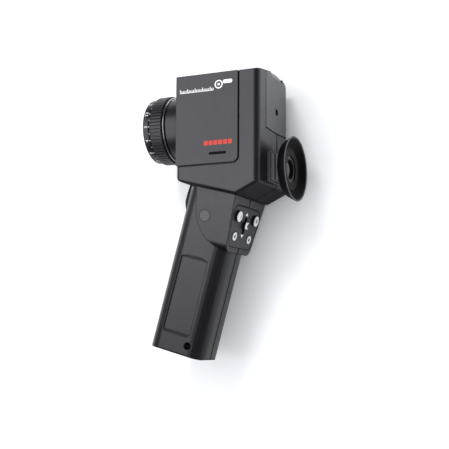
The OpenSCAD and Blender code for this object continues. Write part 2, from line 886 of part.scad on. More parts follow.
shell_left();
shell_right();
side_panel();
battery_door();
battery_tray();
battery_cells();
battery_contacts();
lens_barrel();
trim_ring();
focus_ring();
scale_ring();
lens_cell();
front_element();
rear_element();
front_retainer();
barrel_nut();
optics_housing();
beam_splitter();
focusing_screen();
finder_mirror();
light_sensor();
eyepiece_block();
ocular_cell();
ocular_lens();
dioptre_ring();
eyecup();
main_board();
display_module();
display_window();
key_plate();
key_upper_left();
key_upper_right();
key_lower_left();
key_lower_right();
select_knob();
select_switch();
key_mat();
key_board();
trigger();
trigger_pin();
trigger_switch();
screw_plug();
tripod_insert();
case_screws();
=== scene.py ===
"""Looks for the pistol-grip spot light meter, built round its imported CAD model."""
import json
import math

import bmesh
import bpy
from mathutils import Matrix, Vector


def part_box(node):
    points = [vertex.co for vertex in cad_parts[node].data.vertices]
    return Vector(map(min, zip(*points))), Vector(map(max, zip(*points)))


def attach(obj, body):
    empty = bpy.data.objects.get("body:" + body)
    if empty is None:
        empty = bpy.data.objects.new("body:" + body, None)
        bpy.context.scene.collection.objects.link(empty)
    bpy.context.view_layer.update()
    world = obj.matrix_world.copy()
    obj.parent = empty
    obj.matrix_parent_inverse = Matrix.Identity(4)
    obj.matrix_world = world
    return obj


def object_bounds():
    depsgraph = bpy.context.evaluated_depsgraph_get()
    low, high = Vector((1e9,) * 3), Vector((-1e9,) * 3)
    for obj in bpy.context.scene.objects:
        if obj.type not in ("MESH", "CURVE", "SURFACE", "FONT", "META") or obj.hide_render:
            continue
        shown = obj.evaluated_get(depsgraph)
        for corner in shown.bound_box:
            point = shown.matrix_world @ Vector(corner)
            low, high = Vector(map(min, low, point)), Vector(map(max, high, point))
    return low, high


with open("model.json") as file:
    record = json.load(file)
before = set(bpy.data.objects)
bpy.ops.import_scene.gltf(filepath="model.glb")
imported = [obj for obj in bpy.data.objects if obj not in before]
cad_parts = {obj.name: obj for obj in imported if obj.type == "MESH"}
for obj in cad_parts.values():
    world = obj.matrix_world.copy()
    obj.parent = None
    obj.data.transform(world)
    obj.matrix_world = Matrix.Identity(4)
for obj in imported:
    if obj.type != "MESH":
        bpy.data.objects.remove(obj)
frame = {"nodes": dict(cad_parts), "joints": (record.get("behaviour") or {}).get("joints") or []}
cad_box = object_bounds()
nodes = frame["nodes"]
joints = {joint["name"]: joint for joint in frame["joints"]}
MM = 0.001
MATT_TOP_Z = -60 * MM    # the grip grows matter from here
MATT_FOOT_Z = -165 * MM  # down to here
# the matt black that paints shade on faces of the case that look down
PAINTED_SHADE_BLACK = (0.006, 0.006, 0.007, 1)
# painted highlight: the paler grey along the eyecup's rim
RIM_HIGHLIGHT_GREY = (0.09, 0.09, 0.095, 1)
DUST_GREY = (0.3, 0.3, 0.3, 1)
GLASS_CLEAR = (0.9, 0.92, 0.95, 1)
SILVER = (0.9, 0.91, 0.93, 1)

# ---------- node helpers ----------


def feed(tree, socket, value):
    """Links a socket to another one, or sets it where the value is a plain one."""
    if isinstance(value, bpy.types.NodeSocket):
        tree.links.new(value, socket)
    else:
        socket.default_value = value


def add(tree, kind, inputs=None, **settings):
    """Adds a shader node and feeds its inputs."""
    node = tree.nodes.new(kind)
    for key, value in settings.items():
        setattr(node, key, value)
    for key, value in (inputs or {}).items():
        feed(tree, node.inputs[key], value)
    return node


def fresh(name):
    """A new material, its empty tree and its Object texture coordinate."""
    material = bpy.data.materials.new(name)
    material.use_nodes = True
    tree = material.node_tree
    tree.nodes.clear()
    place = add(tree, "ShaderNodeTexCoord").outputs["Object"]
    return material, tree, place


def noise(tree, place, scale, detail=2.0, stretch=(1, 1, 1)):
    """Noise with the given number of features per metre, stretched along an axis where asked."""
    mapped = add(tree, "ShaderNodeMapping", {"Vector": place, "Scale": stretch}).outputs["Vector"]
    inputs = {"Vector": mapped, "Scale": scale, "Detail": detail}
    return add(tree, "ShaderNodeTexNoise", inputs).outputs["Fac"]


def ramp(tree, value, low, high, out_low=0.0, out_high=1.0):
    """A value that runs from out_low to out_high while another runs from low to high."""
    inputs = {
        "Value": value, "From Min": low, "From Max": high, "To Min": out_low, "To Max": out_high,
    }
    return add(tree, "ShaderNodeMapRange", inputs).outputs["Result"]


def math_node(tree, operation, a, b):
    node = add(tree, "ShaderNodeMath", operation=operation)
    feed(tree, node.inputs[0], a)
    feed(tree, node.inputs[1], b)
    return node.outputs["Value"]


def blend_colours(tree, factor, low, high):
    """A colour that goes from low to high with the factor. The colour sockets have no names of their own."""
    node = add(tree, "ShaderNodeMix", {0: factor, 6: low, 7: high}, data_type="RGBA")
    return node.outputs[2]


def tone(colour, gain):
    """A colour made paler or darker, with an alpha of 1."""
    return tuple(min(1.0, channel * gain) for channel in colour) + (1.0,)


def bumped(tree, height, strength, depth, normal=None):
    """The normal of a surface with fine relief of the given depth."""
    inputs = {"Strength": strength, "Distance": depth, "Height": height}
    if normal is not None:
        inputs["Normal"] = normal
    return add(tree, "ShaderNodeBump", inputs).outputs["Normal"]


def edge_mask(tree, radius):
    """0 on flat faces, 1 along edges, and the normal that rounds those edges off."""
    soft = add(tree, "ShaderNodeBevel", {"Radius": radius}, samples=6).outputs["Normal"]
    true = add(tree, "ShaderNodeNewGeometry").outputs["Normal"]
    dot = add(tree, "ShaderNodeVectorMath", {0: soft, 1: true}, operation="DOT_PRODUCT").outputs["Value"]
    return ramp(tree, dot, 0.995, 0.85), soft


def finish_surface(tree, colour, roughness, normal, painted_shade=None, **extra):
    """The surface shader. Where a share of painted shade is given, that share of it gives way to a plain matt
    black that paints shade on the surface.
    """
    inputs = {"Base Color": colour, "Roughness": roughness, "Normal": normal}
    inputs.update({key.replace("_", " "): value for key, value in extra.items()})
    surface = add(tree, "ShaderNodeBsdfPrincipled", inputs).outputs["BSDF"]
    if painted_shade is not None:
        matt = add(tree, "ShaderNodeBsdfDiffuse", {"Color": PAINTED_SHADE_BLACK, "Normal": normal}).outputs["BSDF"]
        surface = add(tree, "ShaderNodeMixShader", {0: painted_shade, 1: surface, 2: matt}).outputs["Shader"]
    add(tree, "ShaderNodeOutputMaterial", {"Surface": surface})


# ---------- materials ----------


def moulded(name, colour, roughness=0.45, grain=0.12, rounding=0.5, wear=0.35, specular=0.5, matt_foot_and_shade=None):
    """Spark-eroded moulded plastic: fine grain, cloudy sheen, edges rubbed a little paler and smoother.

    Where the last argument is given, it is the specular level that the surface falls to at the foot of the
    grip, and faces that look down get painted shade: they give way to a nearly matt black, as on the shaded
    underside of the head."""
    material, tree, place = fresh(name)
    fine = noise(tree, place, 3200, 3)
    cloud = noise(tree, place, 38, 4)
    scuff = noise(tree, place, 260, 5, (1, 1, 0.35))
    edge, soft = edge_mask(tree, rounding * MM)
    rubbed = math_node(tree, "MULTIPLY", edge, ramp(tree, scuff, 0.35, 0.65))
    base = blend_colours(tree, ramp(tree, cloud, 0.3, 0.7), tone(colour, 0.93), tone(colour, 1.07))
    base = blend_colours(tree, math_node(tree, "MULTIPLY", rubbed, wear), base, tone(colour, 2.0))
    rough = ramp(tree, cloud, 0.3, 0.7, roughness - 0.035, roughness + 0.035)
    rough = math_node(tree, "ADD", rough, ramp(tree, scuff, 0.3, 0.7, -0.02, 0.02))
    rough = math_node(tree, "SUBTRACT", rough, math_node(tree, "MULTIPLY", rubbed, 0.12))
    bump = bumped(tree, fine, grain, 0.06 * MM, soft)
    painted_shade = None
    if matt_foot_and_shade is not None:
        height = add(tree, "ShaderNodeSeparateXYZ", {"Vector": place}).outputs["Z"]
        specular = ramp(tree, height, MATT_FOOT_Z, MATT_TOP_Z, matt_foot_and_shade, specular)
        # painted shade: faces that look down give way to a nearly matt black
        facing = add(tree, "ShaderNodeSeparateXYZ", {"Vector": soft}).outputs["Z"]
        painted_shade = ramp(tree, facing, -0.35, -0.75, 0.0, 0.78)
    finish_surface(tree, base, rough, bump, painted_shade, Specular_IOR_Level=specular)
    return material


def turned_metal(name, colour, roughness=0.32, metallic=0.6, rounding=0.25, lines=0.12):
    """Metal turned on a lathe about the lens axis: fine rings in the bump, rubbed edges."""
    material, tree, place = fresh(name)
    parts = add(tree, "ShaderNodeSeparateXYZ", {"Vector": place})
    radius = add(tree, "ShaderNodeCombineXYZ", {"X": parts.outputs["X"], "Y": parts.outputs["Z"]})
    length = add(tree, "ShaderNodeVectorMath", {0: radius.outputs["Vector"]}, operation="LENGTH")
    rings = add(tree, "ShaderNodeCombineXYZ", {"X": length.outputs["Value"], "Y": parts.outputs["Y"]})
    lathe = noise(tree, rings.outputs["Vector"], 5200, 1)
    cloud = noise(tree, place, 60, 4)
    edge, soft = edge_mask(tree, rounding * MM)
    base = blend_colours(tree, ramp(tree, cloud, 0.3, 0.7), tone(colour, 0.9), tone(colour, 1.1))
    base = blend_colours(tree, math_node(tree, "MULTIPLY", edge, 0.5), base, tone(colour, 2.2))
    rough = ramp(tree, cloud, 0.3, 0.7, roughness - 0.05, roughness + 0.05)
    bump = bumped(tree, lathe, lines, 0.05 * MM, soft)
    finish_surface(tree, base, rough, bump, Metallic=metallic)
    return material


def rubber(name, colour, roughness=0.62, rounding=0.4, specular=0.5, sheen=0.15, rim_y=None):
    """Soft rubber: matt, faint dust and a little sheen at grazing angles. Beyond rim_y it is painted paler: a
    painted highlight on the rim.
    """
    material, tree, place = fresh(name)
    fine = noise(tree, place, 2400, 4)
    dust = noise(tree, place, 700, 6)
    cloud = noise(tree, place, 50, 3)
    edge, soft = edge_mask(tree, rounding * MM)
    base = blend_colours(tree, ramp(tree, cloud, 0.3, 0.7), tone(colour, 0.85), tone(colour, 1.15))
    base = blend_colours(tree, ramp(tree, dust, 0.64, 0.8, 0.0, 0.05), base, DUST_GREY)
    base = blend_colours(tree, math_node(tree, "MULTIPLY", edge, 0.4), base, tone(colour, 2.2))
    rough = ramp(tree, cloud, 0.3, 0.7, roughness - 0.06, roughness + 0.06)
    bump = bumped(tree, fine, 0.15, 0.06 * MM, soft)
    # painted highlight: the rim beyond rim_y is painted a paler grey
    if rim_y is not None:
        depth = add(tree, "ShaderNodeSeparateXYZ", {"Vector": place}).outputs["Y"]
        base = blend_colours(tree, ramp(tree, depth, rim_y, rim_y + 0.3 * MM), base, RIM_HIGHLIGHT_GREY)
    finish_surface(
        tree, base, rough, bump, Sheen_Weight=sheen, Sheen_Roughness=0.4, Specular_IOR_Level=specular,
    )
    return material


def printed(name, colour, roughness=0.5, cover=0.97, specular=0.3):
    """Pad-printed ink: slightly uneven cover and a faint texture of the plastic beneath."""
    material, tree, place = fresh(name)
    fine = noise(tree, place, 2600, 3)
    thin = noise(tree, place, 900, 4)
    worn = ramp(tree, thin, 0.3, 0.75, 0.0, 1.0 - cover)
    base = blend_colours(tree, worn, tone(colour, 1), tone(colour, 0.3))
    bump = bumped(tree, fine, 0.1, 0.04 * MM)
    rough = ramp(tree, fine, 0.3, 0.7, roughness - 0.05, roughness + 0.05)
    finish_surface(tree, base, rough, bump, Specular_IOR_Level=specular)
    return material


def coated_glass(name, tint, roughness=0.02):
    """Coated lens glass: clear, with a coloured bloom that grows at grazing angles, and a trace of dust."""
    material, tree, place = fresh(name)
    dust = noise(tree, place, 900, 6)
    facing = add(tree, "ShaderNodeLayerWeight", {"Blend": 0.35}).outputs["Facing"]
    base = blend_colours(tree, facing, GLASS_CLEAR, tone(tint, 1))
    rough = ramp(tree, dust, 0.6, 0.8, roughness, roughness + 0.08)
    shader = add(tree, "ShaderNodeBsdfPrincipled", {
        "Base Color": base, "Roughness": rough, "Transmission Weight": 1.0, "IOR": 1.6,
        "Specular Tint": tone(tint, 1.6), "Coat Weight": 0.4, "Coat Tint": tone(tint, 1.4),
    })
    add(tree, "ShaderNodeOutputMaterial", {"Surface": shader.outputs["BSDF"]})
    return material


def mirror(name):
    """Silvered glass with a faint haze."""
    material, tree, place = fresh(name)
    haze = noise(tree, place, 120, 4)
    rough = ramp(tree, haze, 0.4, 0.8, 0.01, 0.06)
    finish_surface(tree, SILVER, rough, bumped(tree, haze, 0.02, 0.02 * MM), Metallic=1.0)
    return material


def circuit(name):
    """Green solder mask over copper tracks."""
    material, tree, place = fresh(name)
    upright = add(tree, "ShaderNodeMapping", {"Vector": place, "Rotation": (0, math.pi / 2, 0)})
    tracks = add(tree, "ShaderNodeTexBrick", {
        "Vector": upright.outputs["Vector"], "Scale": 260.0, "Mortar Size": 0.06,
        "Color1": (0.01, 0.10, 0.04, 1), "Color2": (0.012, 0.12, 0.05, 1),
        "Mortar": (0.03, 0.24, 0.10, 1),
    })
    patches = noise(tree, place, 90, 3)
    plain = (0.012, 0.11, 0.045, 1)
    base = blend_colours(tree, ramp(tree, patches, 0.45, 0.6), tracks.outputs["Color"], plain)
    finish_surface(tree, base, 0.3, bumped(tree, tracks.outputs["Fac"], 0.3, 0.05 * MM))
    return material


CASE = (0.0062, 0.0062, 0.0070)
case_plastic = moulded("case_plastic", CASE, 0.34, rounding=1.1, wear=0.2, matt_foot_and_shade=0.27)
door_plastic = moulded("door_plastic", (0.012, 0.012, 0.013), 0.3, rounding=0.3, wear=0.2, specular=0.66)
# painted light: the eyepiece block is a paler copy of the black plastic, so its face looks lit
block_plastic_painted_light = moulded("block_plastic_painted_light", (0.055, 0.055, 0.058), 0.4, rounding=0.3, wear=0.3)
panel_plastic = moulded("panel_plastic", CASE, 0.34, rounding=0.45, wear=0.2)
plug_plastic = moulded("plug_plastic", (0.036, 0.036, 0.038), 0.42, rounding=0.05, wear=0.1)
fine_plastic = moulded("fine_black_plastic", (0.0055, 0.0055, 0.006), 0.36, rounding=0.5, wear=0.2)
DEEP_BLACK = (0.004, 0.004, 0.0045)
# painted shade: the trigger is a deeper, less shiny black than the case, so the front of the grip looks
# shaded
trigger_plastic_painted_shade = moulded("trigger_plastic_painted_shade", DEEP_BLACK, 0.45, rounding=1.5, wear=0.1, specular=0.16)
key_plastic = moulded("key_plastic", DEEP_BLACK, 0.35, rounding=0.35, wear=0.2)
plate_plastic = moulded("key_plate_plastic", (0.011, 0.011, 0.012), 0.4, rounding=0.4, wear=0.2)
white_plastic = moulded("white_plastic", (0.75, 0.75, 0.76), 0.4, grain=0.05, rounding=0.2, wear=0.1)
silicone = rubber("key_silicone", (0.16, 0.16, 0.17))
rib_rubber = rubber("rib_rubber", (0.008, 0.008, 0.009), 0.42, rounding=0.2)
CUP_RIM_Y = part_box("eyecup")[1].y - 0.55 * MM
cup_rubber = rubber("cup_rubber", (0.0012, 0.0012, 0.0014), 0.6, specular=0.18, sheen=0.0, rim_y=CUP_RIM_Y)
black_metal = turned_metal("black_metal", (0.010, 0.010, 0.011), 0.34, metallic=0.2)
dark_chrome = turned_metal("dark_chrome", (0.3, 0.3, 0.31), 0.28, metallic=1.0, lines=0.04)
steel = turned_metal("zinc_steel", (0.45, 0.45, 0.47), 0.3, metallic=1.0)
brass = turned_metal("brass", (0.62, 0.42, 0.16), 0.3, metallic=1.0)
nickel = turned_metal("nickel", (0.6, 0.58, 0.54), 0.25, metallic=1.0)
lens_glass = coated_glass("lens_glass", (0.35, 0.3, 0.75))
eye_glass = moulded("eye_glass", (0.002, 0.002, 0.003), 0.08, grain=0.01, rounding=0.2, wear=0.0)
screen_glass = coated_glass("screen_glass", (0.55, 0.6, 0.62), 0.3)
silver = mirror("silvered_glass")
board = circuit("board")
sleeve = moulded("cell_sleeve", (0.02, 0.07, 0.25), 0.3, grain=0.02, rounding=0.4, wear=0.1)
smoked = moulded("smoked_window", (0.006, 0.007, 0.008), 0.12, grain=0.01, rounding=0.4, wear=0.1)
white_ink = printed("white_ink", (0.85, 0.85, 0.86))
red_ink = printed("red_ink", (0.52, 0.04, 0.018), specular=0.2)
dark_ink = printed("dark_ink", (0.004, 0.004, 0.005), 0.7, specular=0.05)
# grey ink, which also paints shade on the upper left key
grey_ink_and_painted_shade = printed("grey_ink_and_painted_shade", (0.22, 0.22, 0.24))

FINISHES = {
    case_plastic: ("shell_left", "shell_right"),
    door_plastic: ("battery_door",),
    block_plastic_painted_light: ("eyepiece_block",),
    panel_plastic: ("side_panel",),
    plug_plastic: ("screw_plug",),
    fine_plastic: ("battery_tray", "optics_housing", "dioptre_ring", "trigger_switch"),
    trigger_plastic_painted_shade: ("trigger",),
    key_plastic: ("key_upper_left", "key_upper_right", "key_lower_left", "key_lower_right", "select_knob"),
    plate_plastic: ("key_plate",),
    silicone: ("key_mat",),
    rib_rubber: ("focus_ring",),
    cup_rubber: ("eyecup",),
    black_metal: ("lens_barrel", "scale_ring", "lens_cell", "front_retainer", "barrel_nut", "ocular_cell"),
    dark_chrome: ("trim_ring",),
    steel: ("select_switch", "trigger_pin", "case_screws"),
    brass: ("tripod_insert",),
    nickel: ("battery_contacts",),
    lens_glass: ("front_element", "rear_element", "beam_splitter"),
    eye_glass: ("ocular_lens",),
    screen_glass: ("focusing_screen", "display_module"),
    silver: ("finder_mirror",),
    board: ("light_sensor", "main_board", "key_board"),
    sleeve: ("battery_cells",),
    smoked: ("display_window",),
}


def dress_nodes():
    """Gives every CAD node its material."""
    for material, names in FINISHES.items():
        for name in names:
            mesh = nodes[name].data
            mesh.materials.clear()
            mesh.materials.append(material)


dress_nodes()

# ---------- geometry helpers ----------

INK_LIFT = 0.03 * MM  # how far a printed mark stands out of its surface
INK_SINK = 0.05 * MM  # and how far it reaches into it


def new_piece(name, bm, material, body):
    """Turns a built mesh into a piece that rides on a body and names the material slot it belongs to."""
    mesh = bpy.data.meshes.new(name)
    bm.to_mesh(mesh)
    bm.free()
    mesh.materials.append(material)
    obj = bpy.data.objects.new(name, mesh)
    bpy.context.scene.collection.objects.link(obj)
    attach(obj, body)


def basis(origin, across, up):
    """A matrix whose X runs across, Y runs up and Z leaves the surface."""
    x = Vector(across).normalized()
    y = Vector(up).normalized()
    z = x.cross(y)
    matrix = Matrix((x, y, z)).transposed().to_4x4()
    matrix.translation = Vector(origin)
    return matrix


def flat_shape(bm, outline, place, lift=INK_LIFT, sink=INK_SINK):
    """A thin closed plate over an outline in the plane of "place": a printed or inlaid mark."""
    low = [bm.verts.new(place @ Vector((x, y, -sink))) for x, y in outline]
    high = [bm.verts.new(place @ Vector((x, y, lift))) for x, y in outline]
    count = len(outline)
    bm.faces.new(high)
    bm.faces.new(list(reversed(low)))
    for i in range(count):
        j = (i + 1) % count
        bm.faces.new((low[i], low[j], high[j], high[i]))


def pill(cx, cy, half_w, half_h, radius, steps=6):
    """A rounded rectangle, as a list of points."""
    points = []
    for sx, sy, start in ((1, 1, 0), (-1, 1, 90), (-1, -1, 180), (1, -1, 270)):
        for i in range(steps + 1):
            a = math.radians(start + 90 * i / steps)
            points.append((
                cx + sx * (half_w - radius) + radius * math.cos(a),
                cy + sy * (half_h - radius) + radius * math.sin(a),
            ))
    return points


def ring_shape(bm, place, outer, inner, lift=INK_LIFT, sink=INK_SINK, steps=48, centre=(0, 0)):
    """A thin closed ring in the plane of "place"."""
    loops = []
    for radius, z in ((outer, -sink), (outer, lift), (inner, lift), (inner, -sink)):
        loop = []
        for i in range(steps):
            a = 2 * math.pi * i / steps
            point = Vector((centre[0] + radius * math.cos(a), centre[1] + radius * math.sin(a), z))
            loop.append(bm.verts.new(place @ point))
        loops.append(loop)
    for k in range(4):
        a, b = loops[k], loops[(k + 1) % 4]
        for i in range(steps):
            j = (i + 1) % steps
            bm.faces.new((a[i], a[j], b[j], b[i]))


def disc(radius, steps=48, centre=(0, 0), height=None):
    """A circle as a list of points, or an ellipse where half its height is given."""
    angles = [2 * math.pi * i / steps for i in range(steps)]
    rise = radius if height is None else height
    return [(centre[0] + radius * math.cos(a), centre[1] + rise * math.sin(a)) for a in angles]


def top_face(node, direction):
    """Centre and radius of the face of a node that lies farthest along a direction."""
    direction = Vector(direction).normalized()
    points = [v.co.copy() for v in nodes[node].data.vertices]
    reach = max(p.dot(direction) for p in points)
    face = [p for p in points if reach - p.dot(direction) < 0.02 * MM]
    centre = sum(face, Vector()) / len(face)
    return centre, max((p - centre).length for p in face)


# ---------- marks on the side panel ----------


# places on the panel, as shares of its length from the lens side and of its height from the foot
LINE_START, LINE_END, LINE_HEIGHT = 0.07, 0.608, 0.806
SPOT_PLACE = (0.696, 0.865)
BADGE_PLACE = (0.838, 0.889)
BLOCKS_START, BLOCKS_END, BLOCKS_HEIGHT = 0.456, 0.917, 0.223
BAR_PLACE = (0.682, 0.107)
LINE_TICKS = 22
RED_BLOCKS = 6


def panel_place():
    """The panel's outer face, with its origin at the lower front corner, and the panel's size."""
    low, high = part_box("side_panel")
    return basis((high.x, low.y, low.z), (0, 1, 0), (0, 0, 1)), high - low


def graduated_line(bm, place, size):
    start = LINE_START * size.y
    end = LINE_END * size.y
    foot = LINE_HEIGHT * size.z
    for i in range(LINE_TICKS + 1):
        x = start + (end - start) * i / LINE_TICKS
        tall = (2.7 if i % 5 == 0 else 1.7) * MM
        flat_shape(bm, pill(x, foot + tall / 2, 0.24 * MM, tall / 2, 0.1 * MM, 2), place)
    half_length = (end - start) / 2 + 0.2 * MM
    flat_shape(bm, pill((start + end) / 2, foot, half_length, 0.2 * MM, 0.1 * MM, 2), place)


def white_marks():
    """A graduated line, a spot in a ring and a blank badge."""
    place, size = panel_place()
    bm = bmesh.new()
    graduated_line(bm, place, size)
    spot = (SPOT_PLACE[0] * size.y, SPOT_PLACE[1] * size.z)
    ring_shape(bm, place, 3.1 * MM, 2.3 * MM, centre=spot)
    flat_shape(bm, disc(0.9 * MM, centre=spot), place)
    badge = pill(BADGE_PLACE[0] * size.y, BADGE_PLACE[1] * size.z, 3.6 * MM, 1.35 * MM, 1.2 * MM)
    flat_shape(bm, badge, place)
    new_piece("panel_white_marks", bm, white_ink, "case")


def red_marks():
    """A row of plain blocks."""
    place, size = panel_place()
    pitch = (BLOCKS_END - BLOCKS_START) * size.y / RED_BLOCKS
    bm = bmesh.new()
    for i in range(RED_BLOCKS):
        middle = BLOCKS_START * size.y + (i + 0.5) * pitch
        block = pill(middle, BLOCKS_HEIGHT * size.z, 0.4 * pitch, 1.65 * MM, 0.5 * MM, 3)
        flat_shape(bm, block, place)
    new_piece("panel_red_marks", bm, red_ink, "case")


def dark_mark():
    """A plain bar, darker than the panel."""
    place, size = panel_place()
    bm = bmesh.new()
    bar = pill(BAR_PLACE[0] * size.y, BAR_PLACE[1] * size.z, 6.6 * MM, 1.0 * MM, 0.4 * MM, 3)
    flat_shape(bm, bar, place)
    new_piece("panel_dark_mark", bm, dark_ink, "case")


white_marks()
red_marks()
dark_mark()

# ---------- marks on the lens ----------


CAP_SHARE = 0.7  # height of a figure as a share of the type size


def round_mark(bm, radius, angle, y, half_arc, half_y):
    """A thin closed mark wrapped on a cylinder about the lens axis. Angle 0 is up, towards +X is positive."""
    steps = max(1, int(half_arc / radius * 60))
    grid = []
    for level in (radius - INK_SINK, radius + INK_LIFT):
        for side in (-half_y, half_y):
            row = []
            for i in range(steps + 1):
                a = angle + (i / steps * 2 - 1) * half_arc / radius
                row.append(bm.verts.new((level * math.sin(a), y + side, level * math.cos(a))))
            grid.append(row)
    low_front, low_back, high_front, high_back = grid
    for i in range(steps):
        bm.faces.new((high_front[i], high_front[i + 1], high_back[i + 1], high_back[i]))
        bm.faces.new((low_front[i + 1], low_front[i], low_back[i], low_back[i + 1]))
        bm.faces.new((low_front[i], low_front[i + 1], high_front[i + 1], high_front[i]))
        bm.faces.new((low_back[i + 1], low_back[i], high_back[i], high_back[i + 1]))
    for i in (0, steps):
        bm.faces.new((low_front[i], high_front[i], high_back[i], low_back[i]))


def wrapped_text(name, text, radius, angle, y, height):
    """Figures wrapped on a cylinder about the lens axis, as on any focusing ring."""
    curve = bpy.data.curves.new(name, "FONT")
    curve.body = text
    curve.size = height / CAP_SHARE
    curve.align_x = "CENTER"
    curve.align_y = "CENTER"
    curve.extrude = 0.04 * MM
    temp = bpy.data.objects.new(name, curve)
    bpy.context.scene.collection.objects.link(temp)
    bpy.context.view_layer.update()
    mesh = bpy.data.meshes.new_from_object(temp.evaluated_get(bpy.context.evaluated_depsgraph_get()))
    bpy.data.objects.remove(temp)
    bm = bmesh.new()
    bm.from_mesh(mesh)
    bpy.data.meshes.remove(mesh)
    for vert in bm.verts:
        a = angle - vert.co.x / radius
        r = radius + vert.co.z
        vert.co = Vector((r * math.sin(a), y + vert.co.y, r * math.cos(a)))
    bmesh.ops.recalc_face_normals(bm, faces=bm.faces)
    new_piece(name, bm, white_ink, "focus")


FIGURES = ("1", "1.2", "1.5", "2", "2.5", "3", "4", "5", "7", "10", "20")
FIRST_FIGURE = math.radians(-30)
FIGURE_STEP = math.radians(270) / len(FIGURES)
FIGURE_HEIGHT = 2.3 * MM
INDEX_ANGLE = math.radians(26)  # where the marks on the barrel stand
INDEX_SPREAD = math.radians(9)
BARREL_RADIUS = 24.2 * MM
DOT_RADIUS = 24.38 * MM         # the dot stands on the lug of the barrel


def distance_scale():
    """Distance figures and ticks round the scale ring."""
    low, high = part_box("scale_ring")
    radius = high.x
    y = (low.y + high.y) / 2 - 0.7 * MM
    bm = bmesh.new()
    for i, figure in enumerate(FIGURES):
        angle = FIRST_FIGURE + i * FIGURE_STEP
        wrapped_text(f"distance_{i:02d}", figure, radius, angle, y, FIGURE_HEIGHT)
        round_mark(bm, radius, angle, high.y - 1.3 * MM, 0.2 * MM, 0.55 * MM)
        round_mark(bm, radius, angle + FIGURE_STEP / 2, high.y - 1.1 * MM, 0.15 * MM, 0.35 * MM)
    new_piece("distance_ticks", bm, white_ink, "focus")


def barrel_index():
    """Three index strokes and a dot on the barrel, behind the trim ring."""
    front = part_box("trim_ring")[1].y
    bm = bmesh.new()
    round_mark(bm, BARREL_RADIUS, INDEX_ANGLE, front + 2.5 * MM, 0.3 * MM, 1.4 * MM)
    for side in (-1, 1):
        angle = INDEX_ANGLE + side * INDEX_SPREAD
        round_mark(bm, BARREL_RADIUS, angle, front + 2.0 * MM, 0.25 * MM, 0.9 * MM)
    out = Vector((math.sin(INDEX_ANGLE), 0, math.cos(INDEX_ANGLE)))
    across = (out.z, 0, -out.x)
    place = basis(out * DOT_RADIUS + Vector((0, front + 9.5 * MM, 0)), across, (0, -1, 0))
    flat_shape(bm, disc(0.9 * MM, 24), place, lift=0.12 * MM, sink=0.3 * MM)
    new_piece("barrel_index", bm, white_ink, "case")


distance_scale()
barrel_index()

# ---------- keypad faces ----------


CAP_OVERHANG = 0.12 * MM  # the white caps cover the rims of the keys
CAP_LIFT = 0.18 * MM
CAP_SINK = 0.25 * MM
BORE_SHARE = 0.42         # size of the ring's centre
ARROW_REACH = 8.1 * MM    # from the middle of the slot to each arrow
KEYS = {
    "key_upper_left": "button_upper_left", "key_upper_right": "button_upper_right",
    "key_lower_left": "button_lower_left", "key_lower_right": "button_lower_right",
}
# half of the knob's face, from its blunt point to the middle of its notch, in mm
KNOB_HALF = ((-2.7, 1.0), (-1.7, 2.4), (2.7, 2.5), (0.1, 0))


def keypad_axes():
    """Directions across, up and out of the keypad's face."""
    up = Vector(joints["selector_slide"]["axis"]).normalized()
    out = -Vector(joints["button_upper_left_press"]["axis"]).normalized()
    return up.cross(out), up, out


def ring_cap(name, body, place, cap):
    """A white ring with a dark centre."""
    bore = BORE_SHARE * cap
    bm = bmesh.new()
    ring_shape(bm, place, cap, bore, lift=CAP_LIFT, sink=CAP_SINK)
    new_piece(name + "_face", bm, white_plastic, body)
    bm = bmesh.new()
    flat_shape(bm, disc(bore, 32), place, lift=0.06 * MM)
    new_piece(name + "_centre", bm, grey_ink_and_painted_shade if "upper" in name else dark_ink, body)


def solid_cap(name, body, place, cap):
    """A white disc with a slim grey ellipse towards one side: painted shade, as on a dished cap."""
    bm = bmesh.new()
    flat_shape(bm, disc(cap), place, lift=CAP_LIFT, sink=CAP_SINK)
    new_piece(name + "_face", bm, white_plastic, body)
    bm = bmesh.new()
    # painted shade: a slim grey ellipse on one side of the cap stands for the shaded side of a dished cap
    shade_oval = disc(0.16 * cap, 32, (BORE_SHARE * cap, 0), 0.5 * cap)
    flat_shape(bm, shade_oval, place, lift=CAP_LIFT + INK_LIFT)
    new_piece(name + "_mark", bm, grey_ink_and_painted_shade, body)


def key_caps():
    """White faces on the four keys."""
    across, up, out = keypad_axes()
    for name, body in KEYS.items():
        centre, radius = top_face(name, out)
        place = basis(centre, across, up)
        draw = solid_cap if name == "key_upper_left" else ring_cap
        draw(name, body, place, radius + CAP_OVERHANG)


def knob_middle():
    low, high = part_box("select_knob")
    return (low + high) / 2


def knob_face():
    """The white pointer on the selector knob, on the knob's top and over its middle."""
    across, up, out = keypad_axes()
    top, _ = top_face("select_knob", out)
    middle = knob_middle()
    top.x = middle.x
    top += up * (middle - top).dot(up)
    outline = [(x, -y) for x, y in KNOB_HALF] + [(x, y) for x, y in reversed(KNOB_HALF[:-1])]
    bm = bmesh.new()
    flat_shape(bm, [(x * MM, y * MM) for x, y in outline], basis(top, across, up), lift=0.15 * MM)
    new_piece("select_knob_face", bm, white_plastic, "selector")


def selector_arrows():
    """Two arrows printed on the key plate, beyond the ends of the slot."""
    across, up, out = keypad_axes()
    plate_top, _ = top_face("key_plate", out)
    low, high = joints["selector_slide"]["range_m"]
    slot = knob_middle() + up * (low + high) / 2
    slot += out * (plate_top - slot).dot(out)
    slot.x = knob_middle().x
    half_width = 2.3 * MM
    bm = bmesh.new()
    for side in (1, -1):
        place = basis(slot + up * side * ARROW_REACH, across, up)
        tip = side * 1.2 * MM
        foot = -side * 1.1 * MM
        outline = [(-half_width, foot), (half_width, foot), (0, tip)]
        flat_shape(bm, outline if side > 0 else list(reversed(outline)), place)
    new_piece("selector_arrows", bm, white_ink, "case")


key_caps()
knob_face()
selector_arrows()

# ---------- stage, light and camera ----------

